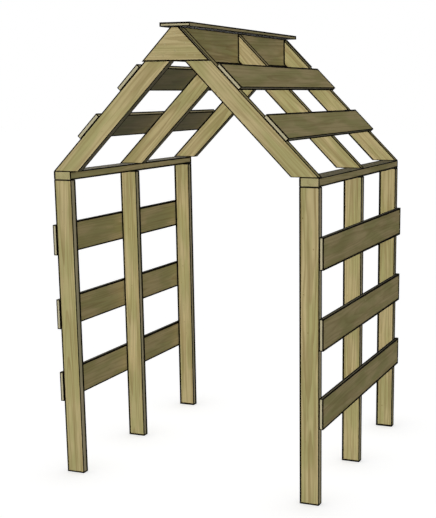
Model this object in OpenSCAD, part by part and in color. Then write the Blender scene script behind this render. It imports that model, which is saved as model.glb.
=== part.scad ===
// Garden arbor with an open gable roof.
// Three posts a side carry a top plate, three pairs of rafters meet at a ridge board,
// and slat boards run from front to back along both sides and both slopes.
// Millimetres. The origin is on the ground at the middle of the arbor, with +X to the
// right seen from the front, +Y towards the back and +Z up.

/* [Frame] */
// Outside width over the posts
frame_w = 1257; // [1100:1:2400]
// Depth over the front and back posts
frame_d = 1219; // [600:1:2400]
// Height of the posts
post_h = 1372; // [1080:1:2400]
// Wide face of the framing timber
timber_w = 89; // [63:1:140]
// Thickness of the framing timber
timber_t = 38; // [25:1:60]

/* [Boards] */
// Width of the slat, gusset and cap boards
board_w = 140; // [90:1:180]
// Thickness of the slat, gusset and cap boards
board_t = 19; // [12:1:30]
// Clear height between the side slats, and between the top one and the plate
side_gap = 203; // [60:1:300]

/* [Roof] */
// Slope of the rafters in degrees
roof_pitch = 45; // [30:1:60]
// Depth of the ridge board
ridge_h = 140; // [130:1:240]
// Bare rafter below the lower roof slat, along the slope
eave_gap = 203; // [20:1:300]
// Bare rafter between the two roof slats, along the slope
roof_gap = 152; // [20:1:200]

/* [Hidden] */
half_w = frame_w / 2;
front_y = -frame_d / 2;
back_y = frame_d / 2;
eave_z = post_h + timber_t;
ridge_t = timber_t;
peak_z = eave_z + (half_w - ridge_t / 2) * tan(roof_pitch);
ridge_foot_z = peak_z - ridge_h;

timber_colour = [0.65, 0.60, 0.42];
board_colour = [0.60, 0.55, 0.39];

// Front face of a row of posts and of the rafters above it.
function row_y(row) =
    row == "front" ? front_y :
    row == "back" ? back_y - timber_t :
    -timber_t / 2;

// How many slats lie above a side slat.
function slats_above(place) =
    place == "top" ? 0 :
    place == "middle" ? 1 :
    2;

// A point on the right-hand slope: up the slope from the eave, and out from the rafter's
// outer edge.
function slope_point(along, out) = [
    half_w - along * cos(roof_pitch) + out * sin(roof_pitch),
    eave_z + along * sin(roof_pitch) + out * cos(roof_pitch)
];

// Children stand on the right-hand side and are mirrored for the left.
module on_side(side) {
    if (side == "left")
        mirror([1, 0, 0]) children();
    else
        children();
}

// Turns an outline in X and Z into a piece that starts at start_y and runs back.
module run_back(start_y, length) {
    translate([0, start_y + length, 0])
        rotate([90, 0, 0])
            linear_extrude(length) children();
}

module post(row, side) {
    color(timber_colour)
        on_side(side)
            translate([half_w - timber_w, row_y(row), 0])
                cube([timber_w, timber_t, post_h]);
}

// A timber laid flat along the tops of one side's posts.
module top_plate(side) {
    color(timber_colour)
        on_side(side)
            translate([half_w - timber_w, front_y, post_h])
                cube([timber_w, frame_d, timber_t]);
}

// Level seat on the plate, plumb cut against the ridge board.
module rafter(row, side) {
    seat = timber_w / sin(roof_pitch);
    plumb = timber_w / cos(roof_pitch);
    color(timber_colour)
        on_side(side)
            run_back(row_y(row), timber_t)
                polygon([
                    [half_w, eave_z],
                    [ridge_t / 2, peak_z],
                    [ridge_t / 2, peak_z - plumb],
                    [half_w - seat, eave_z]
                ]);
}

module ridge_board() {
    color(timber_colour)
        translate([-ridge_t / 2, front_y, ridge_foot_z])
            cube([ridge_t, frame_d, ridge_h]);
}

// A board laid flat on the ridge, long enough to cover both gussets.
module ridge_cap() {
    color(board_colour)
        translate([-board_w / 2, front_y - board_t, peak_z])
            cube([board_w, frame_d + 2 * board_t, board_t]);
}

// A board across the end of the ridge, its ends cut flush with the rafters' outer edges.
module gusset(start_y) {
    top_half = ridge_t / 2;
    foot_half = top_half + ridge_h / tan(roof_pitch);
    color(board_colour)
        run_back(start_y, board_t)
            polygon([
                [-foot_half, ridge_foot_z],
                [foot_half, ridge_foot_z],
                [top_half, peak_z],
                [-top_half, peak_z]
            ]);
}

module roof_slat(place, side) {
    foot = place == "lower" ? eave_gap : eave_gap + board_w + roof_gap;
    color(board_colour)
        on_side(side)
            run_back(front_y, frame_d)
                polygon([
                    slope_point(foot, 0),
                    slope_point(foot, board_t),
                    slope_point(foot + board_w, board_t),
                    slope_point(foot + board_w, 0)
                ]);
}

module side_slat(place, side) {
    top_z = post_h - side_gap - slats_above(place) * (board_w + side_gap);
    color(board_colour)
        on_side(side)
            translate([half_w, front_y, top_z - board_w])
                cube([board_t, frame_d, board_w]);
}

post("front", "left");  // post_front_left
post("middle", "left");  // post_middle_left
post("back", "left");  // post_back_left
post("front", "right");  // post_front_right
post("middle", "right");  // post_middle_right
post("back", "right");  // post_back_right
top_plate("left");  // top_plate_left
top_plate("right");  // top_plate_right
rafter("front", "left");  // rafter_front_left
rafter("middle", "left");  // rafter_middle_left
rafter("back", "left");  // rafter_back_left
rafter("front", "right");  // rafter_front_right
rafter("middle", "right");  // rafter_middle_right
rafter("back", "right");  // rafter_back_right
ridge_board();
ridge_cap();
gusset(front_y - board_t);  // gusset_front
gusset(back_y);  // gusset_back
roof_slat("lower", "left");  // roof_slat_lower_left
roof_slat("upper", "left");  // roof_slat_upper_left
roof_slat("lower", "right");  // roof_slat_lower_right
roof_slat("upper", "right");  // roof_slat_upper_right
side_slat("top", "left");  // side_slat_top_left
side_slat("middle", "left");  // side_slat_middle_left
side_slat("bottom", "left");  // side_slat_bottom_left
side_slat("top", "right");  // side_slat_top_right
side_slat("middle", "right");  // side_slat_middle_right
side_slat("bottom", "right");  // side_slat_bottom_right
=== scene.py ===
"""Garden arbor with an open gable roof, in sawn pine with dark stained arrises.

One tree, Sawn Boards, cuts every timber and board: it eases the arrises, slants the ends and
writes onto the mesh where each point lies in its own board. The pine materials draw rings,
streaks and knots in that board space, so the grain runs along every piece and comes out in
arcs on the end grain. A second tree, Screw Heads, sets the coated screws.
"""

import math
import random
from functools import partialmethod

import bpy
from bpy.props import FloatProperty, FloatVectorProperty, IntProperty, PointerProperty
from bpy.types import Operator, Panel, PropertyGroup
from mathutils import Matrix, Vector


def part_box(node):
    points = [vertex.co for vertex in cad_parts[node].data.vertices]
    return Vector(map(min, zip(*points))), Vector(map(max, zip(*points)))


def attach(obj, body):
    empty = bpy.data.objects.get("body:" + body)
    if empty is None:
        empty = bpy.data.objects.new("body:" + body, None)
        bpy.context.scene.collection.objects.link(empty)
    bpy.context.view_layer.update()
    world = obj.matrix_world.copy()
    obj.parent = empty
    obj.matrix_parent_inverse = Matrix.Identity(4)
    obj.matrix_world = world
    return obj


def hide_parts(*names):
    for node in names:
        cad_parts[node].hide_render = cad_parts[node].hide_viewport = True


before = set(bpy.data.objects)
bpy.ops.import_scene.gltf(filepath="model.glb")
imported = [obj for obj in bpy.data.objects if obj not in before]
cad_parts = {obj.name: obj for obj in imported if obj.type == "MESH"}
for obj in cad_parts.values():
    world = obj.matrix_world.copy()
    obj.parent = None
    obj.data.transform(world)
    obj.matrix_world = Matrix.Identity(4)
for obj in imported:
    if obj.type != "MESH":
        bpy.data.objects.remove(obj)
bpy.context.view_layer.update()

bl_info = {
    "name": "Garden Arbor",
    "version": (1, 0, 0),
    "blender": (4, 5, 0),
    "location": "View3D > Sidebar > Arbor",
    "description": "Builds a garden arbor of sawn pine around its packed frame",
    "category": "Add Mesh",
}

SIDES = ("left", "right")
ROWS = ("front", "middle", "back")
OUTWARD = {"left": -1, "right": 1}
ACROSS, AWAY, UP = Vector((1, 0, 0)), Vector((0, 1, 0)), Vector((0, 0, 1))


def tint(red, green, blue):
    """A colour written in display values from 0 to 255, as linear light."""
    shares = (value / 255 for value in (red, green, blue))
    return tuple(
        s / 12.92 if s <= 0.04045 else ((s + 0.055) / 1.055) ** 2.4 for s in shares
    )


# ---------------------------------------------------------------- settings


def metres(name, description, default, low, high, precision=4):
    return FloatProperty(name=name, description=description, default=default, min=low, max=high,
                         precision=precision, unit="LENGTH")


def amount(name, description, default, high):
    return FloatProperty(name=name, description=description, default=default, min=0, max=high)


def paint(name, description, *values):
    return FloatVectorProperty(name=name, description=description, subtype="COLOR", size=4,
                               default=(*tint(*values), 1.0), min=0, max=1)


class ArborJoinery(PropertyGroup):
    """How the boards are cut and screwed."""

    arris: metres("Arris", "Radius that the edges of every board are eased to",
                  0.0012, 0.0005, 0.006)
    border: metres("Border", "Width of the margin round each face that can take stain",
                   0.0085, 0.004, 0.009)
    clearance: metres("Clearance", "How far each board stays inside its nominal size",
                      0.0004, 0.0001, 0.001)
    stations: IntProperty(
        name="Stations", description="Cross sections along a board, which carry its worn arrises",
        default=34, min=8, max=80)
    head: metres("Screw Head", "Diameter of a screw head", 0.0078, 0.004, 0.012)
    proud: metres("Screw Proud", "How far a screw head stands out of the wood",
                  0.00034, 0.0001, 0.0004, precision=5)
    screw_inset: metres("Screw Inset", "From a board's long edge to its screws",
                        0.030, 0.015, 0.06, precision=3)


class ArborColours(PropertyGroup):
    """What the wood and its coated screws look like."""

    beige: paint("Beige", "Warm part of the sawn faces", 179, 164, 121)
    olive: paint("Olive", "Treated, yellow-green part of the sawn faces", 160, 153, 105)
    umber: paint("Umber", "Late wood and dark streaks", 132, 115, 74)
    silver: paint("Silver", "Weathered end grain", 178, 171, 144)
    dusk: paint("Dusk", "Greyed narrow faces", 190, 184, 162)
    # A painted shade: the darker colour of the faces that look up.
    painted_top_shade: paint("Grime", "What settles on the upward faces", 112, 106, 84)
    # A painted shade: the blue-grey cast of the faces that look down.
    painted_downward_shade: paint("Damp", "Blue-grey cast on the faces that look down", 104, 120, 138)
    knot: paint("Knot", "Heart of a knot", 104, 80, 46)
    # Besides the arrises, this colour paints the shade on faces that look straight down and
    # darkens the screw recesses.
    stain: paint("Stain", "Dark stain along the arrises and on undersides", 9, 7, 3)
    stain_width: metres("Stain Width", "How far the stain reaches in from an eased arris",
                        0.0060, 0.0005, 0.012)
    stain_growth: amount("Stain Growth", "How much wider it grows for each metre to the back",
                         0.33, 1)
    screw: paint("Screw Coat", "Coating of the screws", 168, 156, 112)
    steel: paint("Steel", "What shows where the coating is worn", 120, 116, 104)


class ArborStage(PropertyGroup):
    """Floor, light and surroundings."""

    key: amount("Key Light", "Strength of the soft light in front", 3.17, 10)
    fill: amount("Fill Light", "Strength of the soft light behind", 2.9, 10)
    cast: amount("Cast Share", "Share of each light that casts shadows", 0.06, 1)
    sky: amount("Sky", "Brightness of the surroundings, as they light the wood", 0.07, 1)
    floor: amount("Floor", "Brightness of the floor, as it lights the wood", 0.06, 1)


# ---------------------------------------------------------------- nodes


class Wire:
    """An output in a node tree, on which arithmetic adds nodes."""

    def __init__(self, bench, socket):
        self.bench = bench
        self.socket = socket

    def math(self, operation, *others):
        return self.bench.add("ShaderNodeMath", self, *others, operation=operation)

    def __rsub__(self, other):
        return self.bench.add("ShaderNodeMath", other, self, operation="SUBTRACT")

    __add__ = __radd__ = partialmethod(math, "ADD")
    __sub__ = partialmethod(math, "SUBTRACT")
    __mul__ = __rmul__ = partialmethod(math, "MULTIPLY")
    __truediv__ = partialmethod(math, "DIVIDE")
    least = partialmethod(math, "MINIMUM")
    most = partialmethod(math, "MAXIMUM")
    below = partialmethod(math, "LESS_THAN")

    def clamped(self):
        return self.most(0.0).least(1.0)

    def rises(self, low, high):
        """0 up to low and 1 from high, with a smooth rise between."""
        return self.bench.add("ShaderNodeMapRange", self, low, high, 0.0, 1.0,
                              interpolation_type="SMOOTHSTEP")

    def parts(self):
        """The three numbers of a vector."""
        node = self.bench.place("ShaderNodeSeparateXYZ", self)
        return [Wire(self.bench, socket) for socket in node.outputs]


class Bench:
    """Lays nodes into one tree and joins them up."""

    def __init__(self, tree):
        self.tree = tree

    @classmethod
    def group(cls, name, kind, inputs, outputs):
        """A bench on a new node group. inputs and outputs are rows of (socket type, *names)."""
        bench = cls(bpy.data.node_groups.new(name, kind))
        for in_out, rows in (("INPUT", inputs), ("OUTPUT", outputs)):
            for socket_type, *labels in rows:
                for label in labels:
                    bench.tree.interface.new_socket(
                        name=label, in_out=in_out, socket_type=socket_type)
        start = bench.tree.nodes.new("NodeGroupInput")
        bench.start = {s.name: Wire(bench, s) for s in start.outputs if s.name}
        bench.end = bench.tree.nodes.new("NodeGroupOutput")
        return bench

    def place(self, kind, *values, **settings):
        """Adds a node. Values go to its enabled inputs in order, and None skips one."""
        node = self.tree.nodes.new(kind)
        for name, setting in settings.items():
            setattr(node, name, setting)
        for socket, value in zip([s for s in node.inputs if s.enabled], values):
            self.feed(socket, value)
        return node

    def add(self, kind, *values, output=None, **settings):
        """Adds a node and gives the output of that name, or its first enabled one."""
        node = self.place(kind, *values, **settings)
        if output:
            return Wire(self, node.outputs[output])
        return Wire(self, next(s for s in node.outputs if s.enabled))

    def feed(self, socket, value):
        if isinstance(value, Wire):
            self.tree.links.new(value.socket, socket)
        elif value is not None:
            socket.default_value = value

    def feed_named(self, node, **values):
        """Feeds a node's inputs by their names, with _ for a space."""
        for name, value in values.items():
            self.feed(node.inputs[name.replace("_", " ")], value)

    def finish(self, **results):
        """Joins results to the group's outputs."""
        self.feed_named(self.end, **results)
        return self.tree

    def vector(self, x, y, z):
        return self.add("ShaderNodeCombineXYZ", x, y, z)

    def sums(self, operation, *vectors):
        """Arithmetic on vectors."""
        return self.add("ShaderNodeVectorMath", *vectors, operation=operation)

    def noise(self, place, detail=2.0, roughness=0.5):
        return self.add("ShaderNodeTexNoise", place, 1.0, detail, roughness)

    def mix(self, share, first, second, blend="MIX"):
        return self.add("ShaderNodeMix", share, first, second, data_type="RGBA",
                        blend_type=blend)

    def grey(self, value):
        """A number as a colour."""
        return self.add("ShaderNodeCombineColor", value, value, value)

    def read(self, name):
        """A named vector attribute, in a geometry tree."""
        return self.add("GeometryNodeInputNamedAttribute", name, data_type="FLOAT_VECTOR")

    def store(self, geometry, name, value, domain="POINT", data_type="FLOAT"):
        return self.add("GeometryNodeStoreNamedAttribute", geometry, None, name, value,
                        domain=domain, data_type=data_type)

    def painted(self, name, output="Fac"):
        """A named attribute, in a material."""
        return self.add("ShaderNodeAttribute", attribute_name=name, output=output)


FLOAT, INT, VECTOR = "NodeSocketFloat", "NodeSocketInt", "NodeSocketVector"
GEOMETRY, MATERIAL = "NodeSocketGeometry", "NodeSocketMaterial"


def built_once(build):
    """Keeps each node group or material that build makes, to give it again."""
    store = {}

    def fetch(*details):
        if details not in store:
            store[details] = build(*details)
        return store[details]

    return fetch


# ---------------------------------------------------------------- the sawn boards

LINES_ACROSS = 6
EASED_LINES = 2
# The margin through a board, beside the border, and at most as a share of the thickness.
THROUGH_BORDER, THROUGH_LIMIT = 1.6, 0.44
# The easing radius wanders: its pace along and across, a step from seed to seed, and its
# least and further share of the arris.
WEAR_ALONG, WEAR_ACROSS, WEAR_STEP = 14, 20, 7.3
WEAR_LEAST, WEAR_FURTHER = 0.7, 0.6
# How far a face's normal points along or across for an end or an edge, and for a flat face.
FACES_THAT_WAY, FLAT = 0.7, 0.99
# Where a board may lie in its log, from its pith: at least, and at most.
LOG_FROM, LOG_TO = (0.0, -0.018, 0.03), (12.0, 0.018, 0.066)
TONE_SEED, WEAR_SEED = 40, 5


def spread_lines(coordinate, size, lines, arris, border):
    """Moves evenly spaced lines to the arrises and margins of a face."""
    steps = lines - 1
    index = ((coordinate + size * 0.5) / (size / steps)).math("ROUND")
    from_end = index.least(steps - index)
    inner_gap = (size - border * 2) / (steps - EASED_LINES * 2)
    depth = border + (from_end - EASED_LINES) * inner_gap
    # The end's own line is number 0, and the next one is where the arris begins.
    on_arris, at_end = from_end.below(1.5), from_end.below(0.5)
    depth = depth * (1 - on_arris) + arris * (on_arris - at_end)
    return coordinate.math("SIGN") * (size * 0.5 - depth)


STAIN_INPUTS = [f"{face} {side}" for face in ("Broad", "Edge", "End") for side in ("Low", "High")]
THIN_ENDS = (0.3, 0.3, 0.3, 0.3)
POST_WIDTHS = ((1.25, 0.45, 1.35, 0.5), (1.3, 0.5, 0.3, 2.6), THIN_ENDS)
# Widths of the stain beside the usual one, thin where a face meets its neighbour and wide
# where it stands free. They lie on the broad faces at the start, finish, near edge and far
# edge, on the narrow edges at the start, finish, lower and upper face, and on the ends at the
# near edge, far edge, lower and upper face.
STAIN_WIDTHS = {
    "posts_left": POST_WIDTHS,
    "posts_right": POST_WIDTHS,
    "plate_left": ((0.3, 1.0, 0.9, 3.0), (0.3, 2.0, 1.15, 0.8), (0.8, 1.6, 0.3, 0.15)),
    "plate_right": ((0.3, 1.0, 0.5, 2.6), (0.3, 2.0, 1.15, 0.5), (0.55, 1.4, 0.3, 0.15)),
    "rafters_left": ((0.35, 1.0, 0.4, 1.0), (0.5, 0.8, 1.3, 0.3), THIN_ENDS),
    "rafters_right": ((0.35, 1.0, 0.9, 0.5), (0.5, 0.8, 0.3, 2.7), THIN_ENDS),
    "ridge_timber": ((1.0, 1.0, 1.0, 0.3), (1.0, 1.0, 1.0, 1.0), (1.0, 1.0, 1.0, 1.0)),
    "cap_board": ((0.5, 1.0, 1.3, 1.0), (0.3, 2.5, 0.35, 0.9), (0.3, 1.4, 0.6, 1.25)),
    "gable_gussets": ((0.95, 0.95, 0.4, 1.0), (0.6, 0.6, 0.6, 0.6), (0.6, 0.6, 0.4, 1.5)),
    "roof_slats_left": ((0.8, 1.0, 0.8, 1.2), (0.5, 1.5, 0.3, 1.3), (0.6, 0.6, 0.1, 0.8)),
    "roof_slats_right": ((0.8, 2.8, 0.35, 1.6), (0.5, 1.5, 1.5, 0.35), (0.6, 0.6, 0.3, 0.8)),
    "side_slats_left": ((1.0, 1.0, 1.2, 1.1), (0.5, 1.5, 0.8, 1.0), (0.7, 0.7, 0.55, 0.85)),
    "side_slats_right": ((0.8, 2.8, 1.6, 1.1), (0.5, 1.5, 1.6, 0.4), (0.7, 0.7, 0.55, 0.85)),
}


def stain_margins(broad, edge, end):
    """The inputs of Sawn Boards that take a row of STAIN_WIDTHS."""
    rows = [(broad[0], broad[2], 1.0), (broad[1], broad[3], 1.0),
            (edge[0], 1.0, edge[2]), (edge[1], 1.0, edge[3]),
            (1.0, end[0], end[2]), (1.0, end[1], end[3])]
    return dict(zip(STAIN_INPUTS, rows))


@built_once
def sawn_boards_tree():
    """A row of like boards, lengthwise along X, wide in Y and thick in Z before they turn."""
    bench = Bench.group(
        "Sawn Boards", "GeometryNodeTree",
        [(GEOMETRY, "Geometry"), (FLOAT, "Length", "Width", "Thickness", "Start Slant"),
         (FLOAT, "End Slant", "Arris", "Border"), (VECTOR, *STAIN_INPUTS),
         (INT, "Stations", "Count", "Seed"), (VECTOR, "First Centre", "Spacing", "Turn"),
         (MATERIAL, "Material")],
        [(GEOMETRY, "Geometry")])
    given = bench.start
    length, width, thickness = given["Length"], given["Width"], given["Thickness"]
    arris, border, seed = given["Arris"], given["Border"], given["Seed"]

    blank = bench.add("GeometryNodeMeshCube", bench.vector(length, width, thickness),
                      given["Stations"], LINES_ACROSS, LINES_ACROSS)
    spot = bench.add("GeometryNodeInputPosition")
    sizes = (length, width, thickness)
    counts = (given["Stations"], LINES_ACROSS, LINES_ACROSS)
    margins = (border, border, (border * THROUGH_BORDER).least(thickness * THROUGH_LIMIT))
    lined = [spread_lines(coordinate, size, count, arris, margin)
             for coordinate, size, count, margin in zip(spot.parts(), sizes, counts, margins)]
    for name, hand in (("from_low", 1), ("from_high", -1)):
        depths = [(line * hand + size * 0.5 - arris).most(0.0) for line, size in zip(lined, sizes)]
        blank = bench.store(blank, name, bench.vector(*depths), data_type="FLOAT_VECTOR")

    # A worn arris: the easing radius wanders along the board.
    x, y, z = spot.parts()
    wander = bench.noise(bench.vector(x * WEAR_ALONG + seed * WEAR_STEP, y * WEAR_ACROSS,
                                      z * WEAR_ACROSS))
    radius = arris * (WEAR_LEAST + wander * WEAR_FURTHER)
    cores = []
    for coordinate, size in zip(lined, sizes):
        limit = size * 0.5 - radius
        cores.append(coordinate.least(limit).most(limit * -1))
    core = bench.vector(*cores)
    reach = bench.sums("NORMALIZE", bench.sums("SUBTRACT", bench.vector(*lined), core))
    eased = bench.sums("ADD", core, bench.sums("SCALE", reach, radius))
    board = bench.add("GeometryNodeSetPosition", blank, None, eased)

    facing = [part.math("ABSOLUTE") for part in bench.add("GeometryNodeInputNormal").parts()]
    is_end, is_edge = (1 - part.below(FACES_THAT_WAY) for part in facing[:2])
    board = bench.store(board, "end_grain", is_end, domain="FACE")
    board = bench.store(board, "edge", is_edge, domain="FACE")
    for name in ("Low", "High"):
        margin = given[f"Broad {name}"]
        for on_face, kind in ((is_edge, "Edge"), (is_end, "End")):
            margin = bench.add("ShaderNodeMix", on_face, margin, given[f"{kind} {name}"],
                               data_type="VECTOR")
        board = bench.store(board, f"stain_{name.lower()}", margin, "FACE", "FLOAT_VECTOR")
    rounded = facing[0].most(facing[1]).most(facing[2]).below(FLAT)
    board = bench.add("GeometryNodeSetShadeSmooth", board, None, rounded)

    # Ends cut at a slant, which keep an even margin: y is 0 at the long edge.
    start_slant, end_slant = given["Start Slant"], given["End Slant"]
    from_long_edge = width * 0.5 - y
    from_start, from_finish = x + length * 0.5, length * 0.5 - x
    lean = [(slant * slant + 1).math("SQRT") for slant in (start_slant, end_slant)]
    near = from_long_edge * start_slant - length * 0.5 + from_start.least(border) * lean[0]
    far = length * 0.5 - from_long_edge * end_slant - from_finish.least(border) * lean[1]
    share = ((from_start - border) / (length - border * 2)).clamped()
    board = bench.add("GeometryNodeSetPosition", board, None,
                      bench.vector(near + (far - near) * share, y, z))
    board = bench.store(board, "board_space", spot, data_type="FLOAT_VECTOR")

    # The row, each board out of its own place in the log.
    line = bench.add("GeometryNodeMeshLine", given["Count"], given["First Centre"],
                     given["Spacing"], mode="OFFSET")
    turn = bench.add("FunctionNodeEulerToRotation", given["Turn"])
    row = bench.add("GeometryNodeInstanceOnPoints", line, None, board, None, None, turn)
    number = bench.add("GeometryNodeInputIndex")
    log_place = bench.add("FunctionNodeRandomValue", LOG_FROM, LOG_TO, number, seed,
                          data_type="FLOAT_VECTOR")
    row = bench.store(row, "log_place", log_place, "INSTANCE", "FLOAT_VECTOR")
    tone = bench.add("FunctionNodeRandomValue", 0.0, 1.0, number, seed + TONE_SEED)
    row = bench.store(row, "tone", tone, "INSTANCE")
    row = bench.add("GeometryNodeRealizeInstances", row)
    in_log = bench.sums("ADD", bench.read("board_space"), bench.read("log_place"))
    row = bench.store(row, "board_space", in_log, data_type="FLOAT_VECTOR")
    row = bench.add("GeometryNodeRemoveAttribute", row, "log_place")
    row = bench.add("GeometryNodeSetMaterial", row, None, given["Material"])
    return bench.finish(Geometry=row)


# A screw head's sides, its root in the wood, and then shares of its height and width.
HEAD_SIDES, HEAD_ROOT, RIM_SHARE, CROWN_WIDTH, STAR_WIDTH = 18, 0.0015, 0.6, 0.86, 0.5
LOBES, LOBE_DEPTH, RECESS_DEPTH, RECESS_WIDTH = 6, 0.16, 0.85, 0.9


@built_once
def screw_heads_tree():
    """A countersunk head with a star recess on every point, turned to face outwards."""
    bench = Bench.group(
        "Screw Heads", "GeometryNodeTree",
        [(GEOMETRY, "Geometry"), (FLOAT, "Diameter", "Proud"), (INT, "Seed"),
         (MATERIAL, "Material")],
        [(GEOMETRY, "Geometry")])
    given = bench.start
    proud, radius = given["Proud"], given["Diameter"] * 0.5

    # From the rim in the wood to the crown, then the star.
    depth = proud * RIM_SHARE + HEAD_ROOT
    stub = bench.place("GeometryNodeMeshCylinder", HEAD_SIDES, 1, 1, radius, depth)
    head, top = Wire(bench, stub.outputs["Mesh"]), Wire(bench, stub.outputs["Top"])
    head = bench.add("GeometryNodeSetPosition", head, None, None,
                     bench.vector(0.0, 0.0, proud * RIM_SHARE - depth * 0.5))

    def step(head, top, rise, scale):
        """Extrudes the top face by rise, then scales it."""
        up = bench.vector(0.0, 0.0, 1.0)
        node = bench.place("GeometryNodeExtrudeMesh", head, top, up, rise, False)
        head, top, wall = (Wire(bench, node.outputs[n]) for n in ("Mesh", "Top", "Side"))
        return bench.add("GeometryNodeScaleElements", head, top, scale), top, wall

    head, top, _ = step(head, top, proud * (1 - RIM_SHARE), CROWN_WIDTH)
    head, top, _ = step(head, top, 0.0, STAR_WIDTH)
    x, y, z = bench.add("GeometryNodeInputPosition").parts()
    lobe = (y.math("ARCTAN2", x) * LOBES).math("COSINE") * LOBE_DEPTH + 1
    head = bench.add("GeometryNodeSetPosition", head, top, bench.vector(x * lobe, y * lobe, z))
    head, top, wall = step(head, top, proud * -RECESS_DEPTH, RECESS_WIDTH)
    sunk = bench.add("FunctionNodeBooleanMath", top, wall, operation="OR")
    head = bench.store(head, "sunk", sunk, domain="FACE")
    rim = bench.sums("LENGTH", bench.vector(x, y, 0.0))
    head = bench.store(head, "rim", rim / radius)

    facing = bench.add("FunctionNodeAlignRotationToVector", None, 1.0, bench.read("facing"),
                       axis="Z")
    number = bench.add("GeometryNodeInputIndex")
    spin = bench.add("FunctionNodeRandomValue", 0.0, math.tau, number, given["Seed"])
    spin = bench.add("FunctionNodeAxisAngleToRotation", tuple(UP), spin)
    turn = bench.add("FunctionNodeRotateRotation", facing, spin, rotation_space="LOCAL")
    heads = bench.add("GeometryNodeInstanceOnPoints", given["Geometry"], None, head, None, None,
                      turn)
    wear = bench.add("FunctionNodeRandomValue", 0.0, 1.0, number, given["Seed"] + WEAR_SEED)
    heads = bench.store(heads, "tone", wear, "INSTANCE")
    heads = bench.add("GeometryNodeRealizeInstances", heads)
    heads = bench.add("GeometryNodeSetMaterial", heads, None, given["Material"])
    return bench.finish(Geometry=heads)


def run_tree(piece, tree, values):
    """Runs a geometry tree on a piece and leaves its result as the piece's plain mesh."""
    modifier = piece.modifiers.new(tree.name, "NODES")
    modifier.node_group = tree
    inputs = {item.name: item.identifier for item in tree.interface.items_tree
              if item.item_type == "SOCKET" and item.in_out == "INPUT"}
    for name, value in values.items():
        modifier[inputs[name]] = tuple(value) if isinstance(value, Vector) else value
    graph = bpy.context.evaluated_depsgraph_get()
    made = bpy.data.meshes.new_from_object(
        piece.evaluated_get(graph), preserve_all_data_layers=True, depsgraph=graph)
    if not made.polygons:
        raise RuntimeError(f"{piece.name} came out empty")
    piece.modifiers.remove(modifier)
    points, piece.data = piece.data, made
    bpy.data.meshes.remove(points)
    made.name = piece.name


def new_piece(name, points=(), faces=()):
    """An object at the origin. Without faces, its points are loose, for a tree to work on."""
    mesh = bpy.data.meshes.new(name)
    mesh.from_pydata([tuple(p) for p in points], [], faces)
    piece = bpy.data.objects.new(name, mesh)
    bpy.context.scene.collection.objects.link(piece)
    return piece


def cut_boards(name, nodes, along, across, slot, seed, size=None, centre=None,
               slants=(0.0, 0.0)):
    """A row of like boards in place of the CAD nodes that they stand for.

    size is (length, width, thickness), and centre is the first board's, where its node's box
    doesn't give them. The others follow at the spacing of the boxes.
    """
    joinery = bpy.context.scene.arbor_joinery
    ways = Matrix((along, across, along.cross(across)))
    size = size or [abs(span(nodes[0]).dot(way)) for way in ways]
    spacing = middle(nodes[1]) - middle(nodes[0]) if len(nodes) > 1 else UP
    length, width, thickness = (s - 2 * joinery.clearance for s in size)
    piece = new_piece(name)
    run_tree(piece, sawn_boards_tree(), {
        "Length": length, "Width": width, "Thickness": thickness,
        "Start Slant": slants[0], "End Slant": slants[1],
        "Arris": joinery.arris, "Border": joinery.border, "Stations": joinery.stations,
        **stain_margins(*STAIN_WIDTHS[name]),
        "Count": len(nodes), "First Centre": centre or middle(nodes[0]), "Spacing": spacing,
        "Turn": tuple(ways.transposed().to_euler()), "Seed": seed, "Material": pine(slot)})
    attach(piece, "root")
    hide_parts(*nodes)


# ---------------------------------------------------------------- where the CAD has things


def span(node):
    """The size of a CAD node's box."""
    low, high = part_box(node)
    return high - low


def middle(node):
    """The middle of a CAD node's box."""
    low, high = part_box(node)
    return (low + high) / 2


def timber_width():
    """Width of the framing timber."""
    return span("top_plate_right").x


def board():
    """Width and thickness of the slat boards."""
    size = span("side_slat_top_right")
    return size.z, size.x


def roof_slats(side):
    """The nodes of one slope's slats."""
    return [f"roof_slat_{place}_{side}" for place in ("lower", "upper")]


def side_slats(side):
    """The nodes of one side's slats."""
    return [f"side_slat_{place}_{side}" for place in ("top", "middle", "bottom")]


def slope(side):
    """Up one side's slope, out of it, and the length of a rafter's outer edge."""
    size = span(f"rafter_front_{side}")
    rise = Vector((-OUTWARD[side] * size.x, 0, size.z))
    up = rise.normalized()
    out = Vector((OUTWARD[side] * up.z, 0, abs(up.x)))
    return up, out, rise.length


# ---------------------------------------------------------------- materials

# Paces of the grain's patterns, in steps a metre along the board and across it.
BENDS, WAVES, FIBRES, STREAKS, HUES = (0.8, 5), (3.5, 34), (6, 420), (2.2, 70), (4.0, 17)
HUE_SHIFT = 4.0
# How far the rings stray with the bends and waves and round a knot, in metres.
BEND_DEPTH, WAVE_DEPTH, KNOT_PULL = 0.07, 0.008, 0.008
# Places for knots: their spacing along the log and their number to a radian round it. Then
# the least radius of a knot, and what others add.
KNOT_CELL, KNOT_ROUND, KNOT_LEAST, KNOT_FURTHER = 0.16, 0.35, 0.004, 0.006
# Where a knot ends, where its pull on the rings does and where its dark ring does, in radii.
KNOT_EDGE, PULL_EDGE, COLLAR_EDGE, COLLAR = (0.75, 1.2), (0.3, 4.0), (1.0, 2.4), 0.8
# Rise and fall of the late wood within a year, how dark a pale year is and what others add.
LATE_RISE, LATE_FALL, YEAR_LEAST, YEAR_FURTHER = (0.4, 0.88), (0.92, 1.0), 0.45, 0.55
LATE_RELIEF, FIBRE_RELIEF, KNOT_RELIEF = 0.5, 0.5, 0.2


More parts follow.
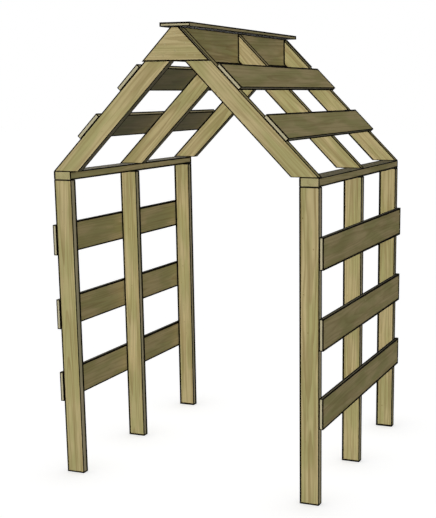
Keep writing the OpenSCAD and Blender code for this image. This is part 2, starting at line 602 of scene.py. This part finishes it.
@built_once
def pine_grain_group():
    """Rings, streaks, fibres and knots of a softwood log whose pith runs along X."""
    bench = Bench.group(
        "Pine Grain", "ShaderNodeTree", [(VECTOR, "Board"), (FLOAT, "Ring Gap", "Knot Share")],
        [(FLOAT, "Late Wood", "Fibre", "Streak", "Hue", "Knot", "Relief")])
    given = bench.start
    along, across, through = given["Board"].parts()

    def drawn_out(pace, shift=0.0, **look):
        """Noise that is drawn out along the grain."""
        place = bench.vector(along * pace[0], across * pace[1], through * pace[1] + shift)
        return bench.noise(place, **look)

    # Knots run out from the pith, so they are placed by how far along and at what turn.
    around = across.math("ARCTAN2", through)
    knots = bench.place(
        "ShaderNodeTexVoronoi", bench.vector(along / KNOT_CELL, around * KNOT_ROUND, 0.0),
        voronoi_dimensions="2D")
    lot = Wire(bench, knots.outputs["Color"]).parts()
    radii = (Wire(bench, knots.outputs["Distance"]) * KNOT_CELL
             / (KNOT_LEAST + lot[1] * KNOT_FURTHER))
    there = lot[0].below(given["Knot Share"])
    knot, pull, collar = ((1 - radii.rises(*edge)) * there
                          for edge in (KNOT_EDGE, PULL_EDGE, COLLAR_EDGE))

    bends, waves = drawn_out(BENDS) - 0.5, drawn_out(WAVES) - 0.5
    radius = bench.sums("LENGTH", bench.vector(0.0, across, through))
    radius = radius + (bends * BEND_DEPTH + waves * WAVE_DEPTH) + pull * KNOT_PULL
    ring = radius / given["Ring Gap"]
    within = ring.math("FRACT")
    year = bench.add("ShaderNodeTexWhiteNoise", ring.math("FLOOR"), noise_dimensions="1D")
    late = within.rises(*LATE_RISE) * (1 - within.rises(*LATE_FALL))
    late = (late * (YEAR_LEAST + year * YEAR_FURTHER)).most(collar * COLLAR)
    fibre = drawn_out(FIBRES, detail=3.0, roughness=0.6)
    streak = drawn_out(STREAKS, detail=3.0, roughness=0.6)
    hue = drawn_out(HUES, HUE_SHIFT, detail=3.0)
    relief = late * LATE_RELIEF + fibre * FIBRE_RELIEF - knot * KNOT_RELIEF
    return bench.finish(Late_Wood=late, Fibre=fibre, Streak=streak, Hue=hue, Knot=knot,
                        Relief=relief)


# The stain's ragged edge: its pace along and across the grain, and its share of the width.
RAGGED_ALONG, RAGGED_ACROSS, RAGGED = 70, 160, 0.24
# Half the width of the stain's soft edge, and how far its haze reaches beside it.
STAIN_SOFTNESS, HAZE_REACH = 0.15, 1.7


@built_once
def dark_arris_group():
    """Stain along the arrises, with a ragged inner edge and a thin haze beyond it."""
    bench = Bench.group(
        "Dark Arris", "ShaderNodeTree",
        [(VECTOR, "From Low", "From High", "Low", "High", "Board"), (FLOAT, "Width")],
        [(FLOAT, "Stain", "Haze")])
    given = bench.start
    low, high = (bench.sums("DIVIDE", given[f"From {side}"], given[side])
                 for side in ("Low", "High"))
    depths = bench.sums("MINIMUM", low, high)
    # On any face one of the three depths is nought, so the middle one counts from an arris.
    first, second, third = depths.parts()
    depth = first.least(second).most(first.most(second).least(third)) / given["Width"]
    along, across, through = given["Board"].parts()
    ragged = bench.noise(bench.vector(along * RAGGED_ALONG, across * RAGGED_ACROSS,
                                      through * RAGGED_ACROSS)) - 0.5
    depth = depth * (1 + ragged * RAGGED)
    stain, haze = (1 - depth.rises(1 - STAIN_SOFTNESS, reach)
                   for reach in (1 + STAIN_SOFTNESS, HAZE_REACH))
    return bench.finish(Stain=stain, Haze=haze)


@built_once
def weathering_group():
    """Slow drifts of tone over the whole arbor, from sun and rain."""
    bench = Bench.group("Weathering", "ShaderNodeTree",
                        [(VECTOR, "Position"), (FLOAT, "Scale")], [(FLOAT, "Drift")])
    place = bench.sums("SCALE", bench.start["Position"], bench.start["Scale"])
    return bench.finish(Drift=bench.noise(place, detail=3.0, roughness=0.55))


def use_group(bench, tree, **values):
    """Places a shader group and gives its outputs by name."""
    node = bench.tree.nodes.new("ShaderNodeGroup")
    node.node_tree = tree
    bench.feed_named(node, **values)
    return {s.name: Wire(bench, s) for s in node.outputs}


def emptied(owner, output_kind):
    """A bench on the tree of a material or world, emptied but for its output."""
    owner.use_nodes = True
    owner.node_tree.nodes.clear()
    bench = Bench(owner.node_tree)
    bench.out = bench.place(output_kind)
    return bench


def new_material(name):
    """A material, and the bench to fill it."""
    material = bpy.data.materials.new(name)
    return material, emptied(material, "ShaderNodeOutputMaterial")


def coat(bench, relief, bump, **inputs):
    """Gives a material one shader, over relief with a bump of (strength, distance)."""
    shader = bench.place("ShaderNodeBsdfPrincipled")
    normal = bench.add("ShaderNodeBump", *bump, None, relief)
    bench.feed_named(shader, Normal=normal, **inputs)
    bench.feed_named(bench.out, Surface=Wire(bench, shader.outputs[0]))


# The pine of each slot: ring gap, share of places with a knot, how strongly the grain shows,
# how grey the narrow faces and how silver the end grain are, and where the drift starts.
PINES = {
    "post_timber": (0.0075, 0.07, 1.35, 0.45, 0.3, (0.0, 0.0, 0.0)),
    "plate_timber": (0.0070, 0.06, 1.2, 0.05, 0.15, (3.1, 0.0, 0.0)),
    "rafter_timber": (0.0078, 0.08, 1.3, 0.05, 0.3, (0.0, 5.3, 0.0)),
    "ridge_timber": (0.0085, 0.06, 1.3, 0.2, 0.3, (0.0, 0.0, 7.7)),
    "slat_board": (0.0080, 0.07, 0.85, 0.45, 0.8, (9.2, 1.0, 0.0)),
    "trim_board": (0.0082, 0.05, 1.2, 0.15, 0.6, (0.0, 2.0, 6.4)),
}
WOOD_DRIFT, SCREW_DRIFT = 2.6, 240.0
# Faces that look back or left are sheltered, and have a narrower stain.
SHELTERED_BELOW, SHELTERED_WIDTHS = -0.3, (0.7, 0.7, 0.7)
# Where the hue turns from beige to olive, where a streak starts and is full, and how far a
# face has to look up or down to be taken as sloping and as level.
HUE_TURN, STREAK_TURN, SLOPING, LEVEL = (0.38, 0.60), (0.46, 0.68), (0.5, 0.7), (0.75, 1.0)
# How much of the wood each layer covers where it is full.
STREAK_COVER, LATE_COVER, KNOT_COVER, HAZE_COVER = 0.4, 0.43, 0.8, 0.25
# Painted shade: on faces that look up, its least cover and what the drift adds; then the cover of
# the blue-grey shade on faces that slope down, and of the near-black shade on faces that look
# straight down.
TOP_SHADE_LEAST, TOP_SHADE_FURTHER, DOWNWARD_SHADE_COVER, UNDERSIDE_SHADE_COVER = 0.6, 0.4, 0.33, 0.96
# How the fibres, the drift and a board's own tone lighten the wood.
FIBRE_LIGHT, DRIFT_LIGHT, TONE_LIGHT, LIGHT_MIDDLE, LIGHT_BASE = 0.26, 0.24, 0.03, 0.25, 1.02
TONE_HUE = 0.04
ROUGHNESS, LATE_POLISH, FIBRE_ROUGHNESS, END_ROUGHNESS = 0.78, 0.10, 0.12, 0.06
WOOD_BUMP, SCREW_BUMP, WOOD_GLOSS, SCREW_GLOSS = (0.6, 0.0003), (0.4, 0.0001), 0.01, 0.3
# The screws' coating: its light, its roughness, and where it is worn from the rim.
COAT_LIGHT, COAT_DRIFT, COAT_TONE, COAT_ROUGHNESS, DRIFT_ROUGHNESS = 0.8, 0.3, 0.1, 0.5, 0.25
RIM_WORN, PATCH_WORN = (0.80, 0.9), (0.45, 0.6)
# How much steel shows where the coating is worn, its metal share, and how far the recess is
# darkened.
STEEL_COVER, STEEL_SHARE, RECESS_DARKENING = 0.5, 0.6, 0.4


@built_once
def pine(slot):
    """The sawn, treated pine of a slot."""
    ring_gap, knot_share, figure, greyed, silvered, drift_offset = PINES[slot]
    colours = bpy.context.scene.arbor_colours
    material, bench = new_material(slot.split("_")[0].title() + " Pine")
    space = bench.painted("board_space", "Vector")
    tone, end_grain, edge = (bench.painted(name) for name in ("tone", "end_grain", "edge"))
    grain = use_group(bench, pine_grain_group(), Board=space, Ring_Gap=ring_gap,
                      Knot_Share=knot_share)
    place = bench.add("ShaderNodeTexCoord", output="Object")
    rightward, backward, upward = bench.add("ShaderNodeNewGeometry", output="Normal").parts()
    sheltered = (rightward - backward).below(SHELTERED_BELOW)
    sides = {}
    for side in ("Low", "High"):
        sides[f"From_{side}"] = bench.painted(f"from_{side.lower()}", "Vector")
        sides[side] = bench.add(
            "ShaderNodeMix", sheltered, bench.painted(f"stain_{side.lower()}", "Vector"),
            SHELTERED_WIDTHS, data_type="VECTOR")
    deeper = place.parts()[1] * colours.stain_growth + 1
    dark = use_group(bench, dark_arris_group(), **sides, Board=space,
                     Width=deeper * colours.stain_width)
    drift = use_group(bench, weathering_group(), Scale=WOOD_DRIFT,
                      Position=bench.sums("ADD", place, drift_offset))["Drift"]

    hue = grain["Hue"] + tone * TONE_HUE - TONE_HUE / 2
    colour = bench.mix(hue.rises(*HUE_TURN), colours.beige, colours.olive)
    streak = grain["Streak"].rises(*STREAK_TURN) * STREAK_COVER * figure
    colour = bench.mix(streak, colour, colours.umber)
    colour = bench.mix(grain["Late Wood"] * LATE_COVER * figure, colour, colours.umber)
    colour = bench.mix(end_grain * silvered, colour, colours.silver)
    colour = bench.mix(edge * greyed, colour, colours.dusk)
    light = grain["Fibre"] * FIBRE_LIGHT + drift * DRIFT_LIGHT - LIGHT_MIDDLE
    light = light * figure + tone * TONE_LIGHT + LIGHT_BASE
    colour = bench.mix(1.0, colour, bench.grey(light), "MULTIPLY")
    colour = bench.mix(grain["Knot"] * KNOT_COVER, colour, colours.knot)
    colour = bench.mix(dark["Haze"] * HAZE_COVER, colour, colours.umber)
    downward = 0 - upward
    # Painted shade on the faces that look up, patchy with the drift.
    top_shade = upward.rises(*LEVEL) * (TOP_SHADE_LEAST + drift * TOP_SHADE_FURTHER)
    colour = bench.mix(top_shade, colour, colours.painted_top_shade)
    # Painted shade: a blue-grey cast on faces that slope down.
    colour = bench.mix(downward.rises(*SLOPING) * DOWNWARD_SHADE_COVER, colour, colours.painted_downward_shade)
    # Painted shade: near-black on faces that look straight down.
    colour = bench.mix(downward.rises(*LEVEL) * UNDERSIDE_SHADE_COVER, colour, colours.stain)
    colour = bench.mix(dark["Stain"], colour, colours.stain)

    roughness = (ROUGHNESS - grain["Late Wood"] * LATE_POLISH
                 + grain["Fibre"] * FIBRE_ROUGHNESS + end_grain * END_ROUGHNESS)
    coat(bench, grain["Relief"], WOOD_BUMP, Base_Color=colour, Roughness=roughness.clamped(),
         Specular_IOR_Level=WOOD_GLOSS)
    return material


@built_once
def coated_screw():
    """A wood-coloured coating over steel, thin on the rim and darker in the recess."""
    colours = bpy.context.scene.arbor_colours
    material, bench = new_material("Coated Screw")
    place = bench.add("ShaderNodeTexCoord", output="Object")
    drift = use_group(bench, weathering_group(), Position=place, Scale=SCREW_DRIFT)["Drift"]
    tone = bench.painted("tone")
    light = COAT_LIGHT + drift * COAT_DRIFT + tone * COAT_TONE
    colour = bench.mix(1.0, colours.screw, bench.grey(light), "MULTIPLY")
    worn = bench.painted("rim").rises(*RIM_WORN) * drift.rises(*PATCH_WORN)
    colour = bench.mix(worn * STEEL_COVER, colour, colours.steel)
    # The recess is darkened with the stain colour.
    colour = bench.mix(bench.painted("sunk") * RECESS_DARKENING, colour, colours.stain)
    coat(bench, drift, SCREW_BUMP, Base_Color=colour, Metallic=worn * STEEL_SHARE,
         Roughness=COAT_ROUGHNESS + drift * DRIFT_ROUGHNESS, Specular_IOR_Level=SCREW_GLOSS)
    return material


# ---------------------------------------------------------------- the arbor's own steps

# Where each row's random choices begin. The right-hand row takes the next number.
POST_SEED, PLATE_SEED, RAFTER_SEED, ROOF_SLAT_SEED, SIDE_SLAT_SEED = 11, 21, 37, 71, 81
RIDGE_SEED, CAP_SEED, GUSSET_SEED = 41, 51, 64
SIDE_SCREW_SEED, ROOF_SCREW_SEED, GUSSET_SCREW_SEED, CAP_SCREW_SEED = 3, 5, 7, 9
# Gusset screws: the height over its foot and the offset from the rafter's middle, two low in
# each rafter's head and one above them, then the heights of those in the ridge timber.
RAFTER_SCREWS = ((0.024, 0.018), (0.024, -0.018), (0.072, 0.022))
RIDGE_SCREWS = (0.042, 0.112)
CAP_SCREWS = (-0.012, 0.012)
SCREW_SLIP = 0.0015


class ARBOR_OT_posts(Operator):
    """Cut the two rows of posts"""

    bl_idname = "arbor.posts"
    bl_label = "Posts"

    def execute(self, context):
        for seed, side in enumerate(SIDES, POST_SEED):
            nodes = [f"post_{row}_{side}" for row in ROWS]
            cut_boards(f"posts_{side}", nodes, UP, ACROSS, "post_timber", seed)
        return {"FINISHED"}


class ARBOR_OT_plates(Operator):
    """Lay a top plate flat on each row of posts"""

    bl_idname = "arbor.plates"
    bl_label = "Top Plates"

    def execute(self, context):
        for seed, side in enumerate(SIDES, PLATE_SEED):
            cut_boards(f"plate_{side}", [f"top_plate_{side}"], AWAY, -ACROSS, "plate_timber",
                       seed)
        return {"FINISHED"}


class ARBOR_OT_rafters(Operator):
    """Cut the rafters with a level seat and a plumb head"""

    bl_idname = "arbor.rafters"
    bl_label = "Rafters"

    def execute(self, context):
        width = timber_width()
        for seed, side in enumerate(SIDES, RAFTER_SEED):
            up, out, length = slope(side)
            nodes = [f"rafter_{row}_{side}" for row in ROWS]
            seat = abs(up.x) / up.z
            # The outer edge runs from corner to corner of the rafter's box.
            centre = middle(nodes[0]) - out * (width / 2)
            cut_boards(f"rafters_{side}", nodes, up, out, "rafter_timber", seed,
                       (length, width, span(nodes[0]).y), centre, (seat, 1 / seat))
        return {"FINISHED"}


class ARBOR_OT_ridge(Operator):
    """Set the ridge timber on edge between the rafters"""

    bl_idname = "arbor.ridge"
    bl_label = "Ridge Timber"

    def execute(self, context):
        cut_boards("ridge_timber", ["ridge_board"], AWAY, UP, "ridge_timber", RIDGE_SEED)
        return {"FINISHED"}


class ARBOR_OT_cap(Operator):
    """Lay the cap board flat on the ridge"""

    bl_idname = "arbor.cap"
    bl_label = "Ridge Cap"

    def execute(self, context):
        cut_boards("cap_board", ["ridge_cap"], AWAY, -ACROSS, "trim_board", CAP_SEED)
        return {"FINISHED"}


class ARBOR_OT_gussets(Operator):
    """Cut a gusset for each gable, its ends along the rafters"""

    bl_idname = "arbor.gussets"
    bl_label = "Gussets"

    def execute(self, context):
        up, _, _ = slope("right")
        lean = abs(up.x) / up.z
        cut_boards("gable_gussets", ["gusset_front", "gusset_back"], ACROSS, -UP, "trim_board",
                   GUSSET_SEED, slants=(lean, lean))
        return {"FINISHED"}


class ARBOR_OT_roof_slats(Operator):
    """Lay two slats on each slope"""

    bl_idname = "arbor.roof_slats"
    bl_label = "Roof Slats"

    def execute(self, context):
        width, thickness = board()
        for seed, side in enumerate(SIDES, ROOF_SLAT_SEED):
            up, _, _ = slope(side)
            nodes = roof_slats(side)
            cut_boards(f"roof_slats_{side}", nodes, AWAY, up * OUTWARD[side], "slat_board", seed,
                       (span(nodes[0]).y, width, thickness))
        return {"FINISHED"}


class ARBOR_OT_side_slats(Operator):
    """Hang three slats on the outside of each row of posts"""

    bl_idname = "arbor.side_slats"
    bl_label = "Side Slats"

    def execute(self, context):
        for seed, side in enumerate(SIDES, SIDE_SLAT_SEED):
            cut_boards(f"side_slats_{side}", side_slats(side), AWAY, UP * OUTWARD[side],
                       "slat_board", seed)
        return {"FINISHED"}


def drive_screws(name, spots, seed):
    """Screw heads at (place on the board's face, the way they face)."""
    joinery = bpy.context.scene.arbor_joinery
    draw = random.Random(seed)
    placed = []
    for spot, facing in spots:
        slip = Vector([draw.uniform(-SCREW_SLIP, SCREW_SLIP) for _ in range(3)])
        slip -= facing * slip.dot(facing)
        placed.append(spot + slip - facing * joinery.clearance)
    piece = new_piece(name, placed)
    outward = piece.data.attributes.new("facing", "FLOAT_VECTOR", "POINT")
    for item, (_, facing) in zip(outward.data, spots):
        item.vector = facing
    run_tree(piece, screw_heads_tree(), {
        "Diameter": joinery.head, "Proud": joinery.proud, "Seed": seed,
        "Material": coated_screw()})
    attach(piece, "root")


def crossing_spots(nodes, out, up, rows, offsets):
    """Spots for drive_screws where boards cross rows, at offsets along up."""
    _, thickness = board()
    spots = []
    for node in nodes:
        face = middle(node) + out * (thickness / 2)
        spots += [(Vector((face.x, y, face.z)) + up * offset, out)
                  for y in rows for offset in offsets]
    return spots


class ARBOR_OT_screws(Operator):
    """Drive the coated screws that hold the boards"""

    bl_idname = "arbor.screws"
    bl_label = "Screws"

    def execute(self, context):
        inset = context.scene.arbor_joinery.screw_inset
        width, thickness = board()
        rows = [middle(f"post_{row}_right").y for row in ROWS]
        pair = (width / 2 - inset, inset - width / 2)
        side_spots, roof_spots = [], []
        for side in SIDES:
            side_spots += crossing_spots(side_slats(side), ACROSS * OUTWARD[side], UP, rows, pair)
            up, out, _ = slope(side)
            roof_spots += crossing_spots(roof_slats(side), out, up, rows, pair)
        drive_screws("side_slat_screws", side_spots, SIDE_SCREW_SEED)
        drive_screws("roof_slat_screws", roof_spots, ROOF_SCREW_SEED)

        low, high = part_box("gusset_front")
        up, _, _ = slope("right")
        rafter_middle = high.x - timber_width() / 2 / up.z
        places = [(hand * (rafter_middle - height * abs(up.x) / up.z + offset), height)
                  for hand in OUTWARD.values() for height, offset in RAFTER_SCREWS]
        places += [(0, height) for height in RIDGE_SCREWS]
        faces = ((low.y, -AWAY), (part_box("gusset_back")[1].y, AWAY))
        gusset_spots = [(Vector((x, y, low.z + height)), out)
                        for y, out in faces for x, height in places]
        low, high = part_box("ridge_cap")
        cap_rows = [low.y + thickness / 2, *rows, high.y - thickness / 2]
        cap_spots = crossing_spots(["ridge_cap"], UP, ACROSS, cap_rows, CAP_SCREWS)
        drive_screws("gusset_screws", gusset_spots, GUSSET_SCREW_SEED)
        drive_screws("cap_screws", cap_spots, CAP_SCREW_SEED)
        return {"FINISHED"}


# ---------------------------------------------------------------- floor, light and camera

CAMERA_PLACE = Vector((2.0501, -4.6930, 1.7492))
CAMERA_YAW, CAMERA_PITCH, CAMERA_ROLL = 20.8, -11.435, -0.217
CAMERA_LENS, CAMERA_SHIFT, SENSOR_WIDTH = 73.797, (-0.1390, 0.0939), 36
KEY_FROM, FILL_FROM = Vector((0.336, -0.936, 0.178)), Vector((-0.60, 0.80, 0.02))
LAMP_SPREAD, LAMP_REACH = 30, 4
WHITE = (1.0, 1.0, 1.0, 1.0)
FLOOR_REACH, FLOOR_SEEN = 40.0, 0.5
# The floor's glow under an open sky and against an object, and how near that is.
GLOW_OPEN, GLOW_LEAST, CONTACT_REACH, CONTACT_SAMPLES = 0.5, 0.35, 0.25, 16


def seen_directly(bench):
    """1 for what the camera, a mirror or glass shows, and 0 for light that only falls."""
    paths = bench.place("ShaderNodeLightPath").outputs
    rays = [Wire(bench, paths[f"Is {kind} Ray"]) for kind in ("Camera", "Glossy", "Transmission")]
    return rays[0].most(rays[1]).most(rays[2])


def add_sun(name, toward, strength, shadow=True):
    """A wide, far light that shines from toward."""
    lamp = bpy.data.lights.new(name, "SUN")
    lamp.use_shadow = shadow
    lamp.energy = strength
    lamp.angle = math.radians(LAMP_SPREAD)
    holder = bpy.data.objects.new(name, lamp)
    holder.rotation_euler = toward.to_track_quat("Z", "Y").to_euler()
    holder.location = toward.normalized() * LAMP_REACH
    bpy.context.scene.collection.objects.link(holder)


class ARBOR_OT_stage(Operator):
    """Set the floor, the surroundings, the lights and the camera"""

    bl_idname = "arbor.stage"
    bl_label = "Stage"

    def execute(self, context):
        settings = context.scene.arbor_stage
        self.lay_floor(settings)
        self.set_surroundings(context.scene, settings)
        for name, toward, strength in (("key", KEY_FROM, settings.key),
                                       ("fill", FILL_FROM, settings.fill)):
            add_sun(f"{name}_light", toward, strength * (1 - settings.cast), shadow=False)
            add_sun(f"{name}_cast", toward, strength * settings.cast)
        self.set_camera(context.scene)
        context.scene.view_settings.view_transform = "Standard"
        return {"FINISHED"}

    def lay_floor(self, settings):
        corners = [(x * FLOOR_REACH, y * FLOOR_REACH, 0)
                   for x, y in ((-1, -1), (1, -1), (1, 1), (-1, 1))]
        floor = new_piece("floor", corners, [(0, 1, 2, 3)])
        material, bench = new_material("Pale Floor")
        seen = seen_directly(bench)
        shade = bench.grey(seen * (FLOOR_SEEN - settings.floor) + settings.floor)
        matt = bench.add("ShaderNodeBsdfDiffuse", shade)
        # The light it gives off makes it white, and fades close to what stands on it, which paints
        # a contact shadow there.
        open_sky = bench.add("ShaderNodeAmbientOcclusion", None, CONTACT_REACH, output="AO",
                             samples=CONTACT_SAMPLES)
        glow = seen * (open_sky * GLOW_OPEN + GLOW_LEAST)
        glow = bench.add("ShaderNodeEmission", WHITE, glow)
        bench.feed_named(bench.out, Surface=bench.add("ShaderNodeAddShader", matt, glow))
        floor.data.materials.append(material)

    def set_surroundings(self, scene, settings):
        scene.world = bpy.data.worlds.new("Studio")
        bench = emptied(scene.world, "ShaderNodeOutputWorld")
        seen = seen_directly(bench)
        strength = seen + (1 - seen) * settings.sky
        bench.feed_named(bench.out, Surface=bench.add("ShaderNodeBackground", WHITE, strength))

    def set_camera(self, scene):
        yaw, pitch, roll = (math.radians(a) for a in (CAMERA_YAW, CAMERA_PITCH, CAMERA_ROLL))
        lens = bpy.data.cameras.new("camera")
        lens.lens = CAMERA_LENS
        lens.sensor_width = SENSOR_WIDTH
        lens.shift_x, lens.shift_y = CAMERA_SHIFT
        camera = bpy.data.objects.new("camera", lens)
        turn = Matrix.Rotation(yaw, 4, "Z") @ Matrix.Rotation(math.pi / 2 + pitch, 4, "X")
        turn = turn @ Matrix.Rotation(roll, 4, "Z")
        camera.matrix_world = Matrix.Translation(CAMERA_PLACE) @ turn
        scene.collection.objects.link(camera)
        scene.camera = camera


SETTINGS = (("arbor_joinery", ArborJoinery), ("arbor_colours", ArborColours),
            ("arbor_stage", ArborStage))
STEPS = (ARBOR_OT_posts, ARBOR_OT_plates, ARBOR_OT_rafters, ARBOR_OT_ridge, ARBOR_OT_cap,
         ARBOR_OT_gussets, ARBOR_OT_roof_slats, ARBOR_OT_side_slats, ARBOR_OT_screws,
         ARBOR_OT_stage)


class ARBOR_PT_build(Panel):
    """The steps that build the arbor, in order"""

    bl_idname = "ARBOR_PT_build"
    bl_label = "Garden Arbor"
    bl_space_type = "VIEW_3D"
    bl_region_type = "UI"
    bl_category = "Arbor"

    def draw(self, context):
        for name, group in SETTINGS:
            box = self.layout.box()
            for setting in group.__annotations__:
                box.prop(getattr(context.scene, name), setting)
        for step in STEPS:
            self.layout.operator(step.bl_idname)


def register():
    for name, group in SETTINGS:
        bpy.utils.register_class(group)
        setattr(bpy.types.Scene, name, PointerProperty(type=group))
    for step in (*STEPS, ARBOR_PT_build):
        bpy.utils.register_class(step)


def unregister():
    for step in reversed((*STEPS, ARBOR_PT_build)):
        bpy.utils.unregister_class(step)
    for name, group in reversed(SETTINGS):
        delattr(bpy.types.Scene, name)
        bpy.utils.unregister_class(group)


def main():
    register()
    for step in STEPS:
        family, name = step.bl_idname.split(".")
        getattr(getattr(bpy.ops, family), name)()


if __name__ == "__main__":
    main()
